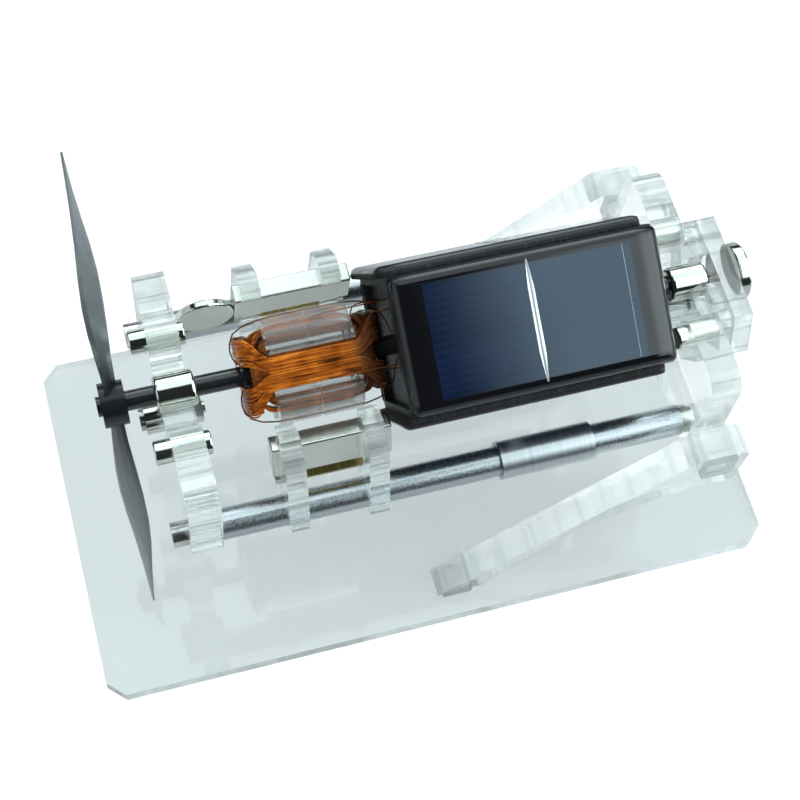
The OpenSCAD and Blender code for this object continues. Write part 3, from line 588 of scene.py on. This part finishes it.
def tube_mesh(name, points, radius, side):
    """One tube along a run of points, with closed ends."""
    verts, faces = [], []
    last = len(points) - 1
    for i, p in enumerate(points):
        run = (points[min(i + 1, last)] - points[max(i - 1, 0)]).normalized()
        u = (side - run * side.dot(run)).normalized()
        v = run.cross(u)
        for k in range(SIDES):
            a = 2 * math.pi * k / SIDES
            verts.append(p + radius * (math.cos(a) * u + math.sin(a) * v))
    for low in range(0, last * SIDES, SIDES):
        high = low + SIDES
        for k in range(SIDES):
            m = (k + 1) % SIDES
            faces.append((low + k, low + m, high + m, high + k))
    faces.append(tuple(reversed(range(SIDES))))
    faces.append(tuple(range(last * SIDES, (last + 1) * SIDES)))
    mesh = bpy.data.meshes.new(name)
    mesh.from_pydata([tuple(v) for v in verts], [], faces)
    mesh.polygons.foreach_set("use_smooth", [True] * len(mesh.polygons))
    return mesh


def wound_coil(name, node, half, fan, sideways, rng):
    """Layers of strands that replace a coil's plain outer layer. The top one has the leads."""
    side = rolled(0, 0, 1) - rolled(0, 0, 0) if sideways else rolled(0, 1, 0) - rolled(0, 0, 0)
    for level in range(LAYERS):
        run = coil_points(half, fan, level, rng)
        if level == LAYERS - 1:
            run = with_leads(run)
        placed = []
        for along, across, outward in run:
            u, n = (outward, -across) if sideways else (across, outward)
            placed.append(rolled(FORMER_MID + along, u, n))
        mesh = tube_mesh(f"{name}_{level}", placed, STRAND_D / 2, side)
        piece = bpy.data.objects.new(f"{name}_layer_{level + 1}", mesh)
        bpy.context.scene.collection.objects.link(piece)
        mesh.materials.append(coil_copper)
        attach(piece, "rotor")
    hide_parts(node)


rng = random.Random(7)
wound_coil("coil_a_wire", "coil_a_turns", HALF_A, FAN_A, False, rng)
wound_coil("coil_b_wire", "coil_b_turns", HALF_B, 0.0, True, rng)

# Floor, light and camera

WHITE = (1, 1, 1)
FLOOR_REACH = 1.6
FLOOR_DROP = 0.2 * MM
FLOOR_GLOW = 0.72  # the share of plain white in the floor, for the camera and through clear plates
MIRRORED = 0.9  # how much of that share, and how much dimmer its white, in polished metal


def floor():
    """White paper. It keeps the shadow, and glows so that it shows white where it is seen."""
    mesh = bpy.data.meshes.new("floor")
    r = FLOOR_REACH
    mesh.from_pydata([(-r, -r, 0), (r, -r, 0), (r, r, 0), (-r, r, 0)], [], [(0, 1, 2, 3)])
    plane = bpy.data.objects.new("floor", mesh)
    plane.location.z = -FLOOR_DROP
    bpy.context.scene.collection.objects.link(plane)
    s = Shader("floor_paper", (0.93, 0.94, 0.95), 0.9)
    s.drive("Roughness", s.spread(s.noise(200, 2.0), 0.3, 0.7, 0.85, 0.95))
    rays = s.add("ShaderNodeLightPath").outputs
    # A ray through a clear plate counts as glossy too, so the glossy rays are taken without it.
    in_metal = s.math("SUBTRACT", rays["Is Glossy Ray"], rays["Is Transmission Ray"])
    in_metal = s.math("MULTIPLY", s.math("MAXIMUM", in_metal, 0.0), MIRRORED)
    seen = s.math("MAXIMUM", in_metal, rays["Is Transmission Ray"])
    seen = s.math("MAXIMUM", rays["Is Camera Ray"], seen)
    glow = s.add("ShaderNodeEmission")
    s.link(s.math("SUBTRACT", 1.0, in_metal), glow.inputs["Strength"])
    blend = s.add("ShaderNodeMixShader")
    s.link(s.math("MULTIPLY", seen, FLOOR_GLOW), blend.inputs["Fac"])
    s.link(s.bsdf.outputs["BSDF"], blend.inputs[1])
    s.link(glow.outputs["Emission"], blend.inputs[2])
    s.link(blend.outputs["Shader"], s.tree.nodes["Material Output"].inputs["Surface"])
    mesh.materials.append(s.material)


# Soft lights of the room: direction, inner and outer angle in degrees, and strength. The first two
# make the sheen on the cells. The magnets, the rods and the panels' rims mirror the others.
ROOM_LIGHTS = (
    ((0.75, -0.3, 0.58), 32.4, 37.5, 3.0),
    ((0.75, -0.3, 0.58), 18, 29, 2.2),
    ((0.1, 0.5, 0.85), 30, 38, 1.8),
    ((0.25, 0.8, 0.5), 6, 20, 4.0),
    ((-0.85, -0.2, 0.5), 15, 36, 1.2),
)
ROOM_GLOW = 0.03
ROOM_TINT = (0.84, 0.96, 1.0)
THROUGH_CLEAR = 0.85


def room_light(world, coords, direction, inner, outer, strength):
    """A round light that fades from its inner angle to its outer one."""
    toward = world.add("ShaderNodeVectorMath", operation="DOT_PRODUCT")
    toward.inputs[1].default_value = Vector(direction).normalized()
    world.link(coords, toward.inputs[0])
    faint, full = (math.cos(math.radians(angle)) for angle in (outer, inner))
    return world.spread(
        toward.outputs["Value"], faint, full, 0, strength, interpolation_type="SMOOTHSTEP",
    )


def studio_world():
    """A dark room with soft lights. The camera sees white, and so nearly does a clear plate."""
    room = bpy.data.worlds.new("studio")
    bpy.context.scene.world = room
    room.use_nodes = True
    world = Nodes(room.node_tree)
    world.tree.nodes.clear()
    coords = world.add("ShaderNodeTexCoord").outputs["Generated"]
    total, *others = [room_light(world, coords, *light) for light in ROOM_LIGHTS]
    for light in others:
        total = world.math("ADD", total, light)
    total = world.math("ADD", total, ROOM_GLOW)
    rays = world.add("ShaderNodeLightPath").outputs
    through = world.math("MULTIPLY", rays["Is Transmission Ray"], THROUGH_CLEAR)
    behind = world.math("MAXIMUM", through, rays["Is Camera Ray"])
    back = world.add("ShaderNodeBackground")
    world.link(world.math("MAXIMUM", total, behind), back.inputs["Strength"])
    world.link(world.mix(rays["Is Camera Ray"], ROOM_TINT, WHITE), back.inputs["Color"])
    out = world.add("ShaderNodeOutputWorld")
    world.link(back.outputs["Background"], out.inputs["Surface"])


def lamp(name, place, aim, size, watts):
    """A square soft light that casts the shadows and doesn't show in the metal."""
    light = bpy.data.lights.new(name, "AREA")
    light.shape = "SQUARE"
    light.size = size
    light.energy = watts
    spot = bpy.data.objects.new(name, light)
    spot.location = place
    spot.visible_glossy = False
    spot.rotation_euler = (Vector(aim) - Vector(place)).to_track_quat("-Z", "Y").to_euler()
    bpy.context.scene.collection.objects.link(spot)


EYE = (-0.08334, -0.17039, 0.43852)
RIGHT = Vector((0.96022, -0.26791, 0.07879))
DOWN = Vector((-0.21128, -0.88147, -0.42233))
AHEAD = Vector((0.18260, 0.38888, -0.90301))
LENS, SENSOR = 73.53, 36


def camera():
    """The camera of the photograph, found by fitting the object's straight parts."""
    data = bpy.data.cameras.new("photo_camera")
    data.sensor_width = SENSOR
    data.lens = LENS
    data.clip_start = 0.01
    eye = bpy.data.objects.new("photo_camera", data)
    turn = Matrix((RIGHT, -DOWN, -AHEAD)).transposed()
    eye.matrix_world = Matrix.Translation(EYE) @ turn.to_4x4()
    bpy.context.scene.collection.objects.link(eye)
    bpy.context.scene.camera = eye


floor()
studio_world()
lamp("key_lamp", place=(-0.35, -0.25, 0.75), aim=(0, 0, 0.06), size=0.5, watts=5)
camera()

bpy.context.scene.view_settings.view_transform = "Standard"
